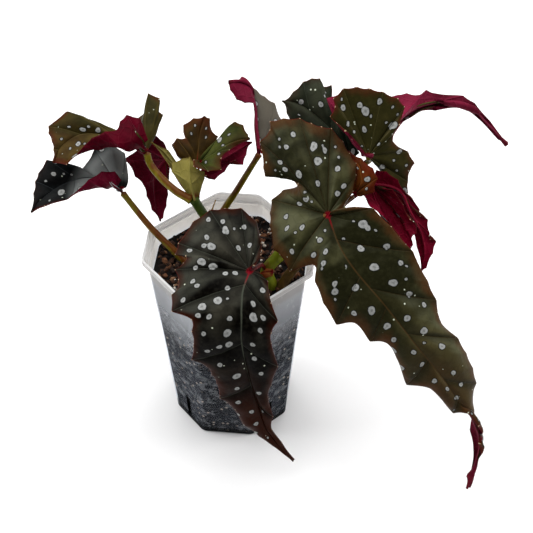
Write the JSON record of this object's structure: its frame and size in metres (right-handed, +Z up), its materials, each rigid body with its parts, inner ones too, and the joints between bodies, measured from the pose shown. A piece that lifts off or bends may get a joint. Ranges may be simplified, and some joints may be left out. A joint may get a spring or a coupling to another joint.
{
  "type": "potted begonia",
  "caption": "Cane begonia with white-dotted, wing-shaped leaves, dark above and crimson beneath, in a clear square nursery pot with cut corners.",
  "frame": {"origin": "centre of the pot's underside, at z = 0", "axes": "+Z up along the pot's axis; -Y towards the picture's front, where the near-black leaf hangs over the rim; +X towards the largest leaf's tip"},
  "size_m": [0.2793, 0.1573, 0.2352],
  "materials": {
    "clear_plastic": "clear, thin, lightly scuffed",
    "bark_mix": "rough, moist bark with pale perlite",
    "green_stem": "smooth, juicy green",
    "lime_stem": "smooth yellow-green with pale lenticels",
    "brown_stem": "dry brown-olive",
    "olive_stalk": "finely haired olive, dark red on the upper side",
    "red_stalk": "finely haired crimson",
    "young_stalk": "tender orange-brown",
    "dark_blade": "satin near-black green with silvery-white spots, red-brown edge",
    "olive_blade": "satin olive green with silvery-white spots, crimson back",
    "grey_blade": "satin grey-green with silvery-white spots, crimson back",
    "folded_blade": "satin olive to near-black upper side, crimson back shown by the fold",
    "crimson_blade": "satin crimson back, darker veins",
    "young_blade": "glossy orange-brown with pale spots",
    "fresh_blade": "glossy fresh olive with pale spots",
    "pale_stipule": "papery, pale yellow-green"
  },
  "bodies": {
    "root": {"pot": "clear_plastic", "substrate": "bark_mix", "stem_left": "green_stem", "stem_right": "lime_stem", "stem_old": "brown_stem", "stalk_front": "red_stalk", "stalk_great": "olive_stalk", "stalk_arching": "olive_stalk", "stalk_slit": "red_stalk", "stalk_hidden": "olive_stalk", "stalk_small": "young_stalk", "stalk_upright": "olive_stalk", "stalk_low": "olive_stalk", "stalk_high": "olive_stalk", "stalk_hanging": "red_stalk", "stalk_unfolding_brown": "young_stalk", "stalk_unfolding_green": "young_stalk", "stalk_unfolding_red": "red_stalk", "spike": "brown_stem", "blade_front": "dark_blade", "blade_great": "olive_blade", "blade_arching": "olive_blade", "blade_hidden": "grey_blade", "blade_slit": "crimson_blade", "blade_small": "young_blade", "blade_upright": "crimson_blade", "blade_low": "folded_blade", "blade_high": "folded_blade", "blade_hanging": "crimson_blade", "blade_unfolding_brown": "young_blade", "blade_unfolding_green": "fresh_blade", "blade_unfolding_red": "crimson_blade", "blade_sheath": "pale_stipule", "blade_bract": "pale_stipule", "blade_node_scale": "pale_stipule"}
  },
  "joints": []
}
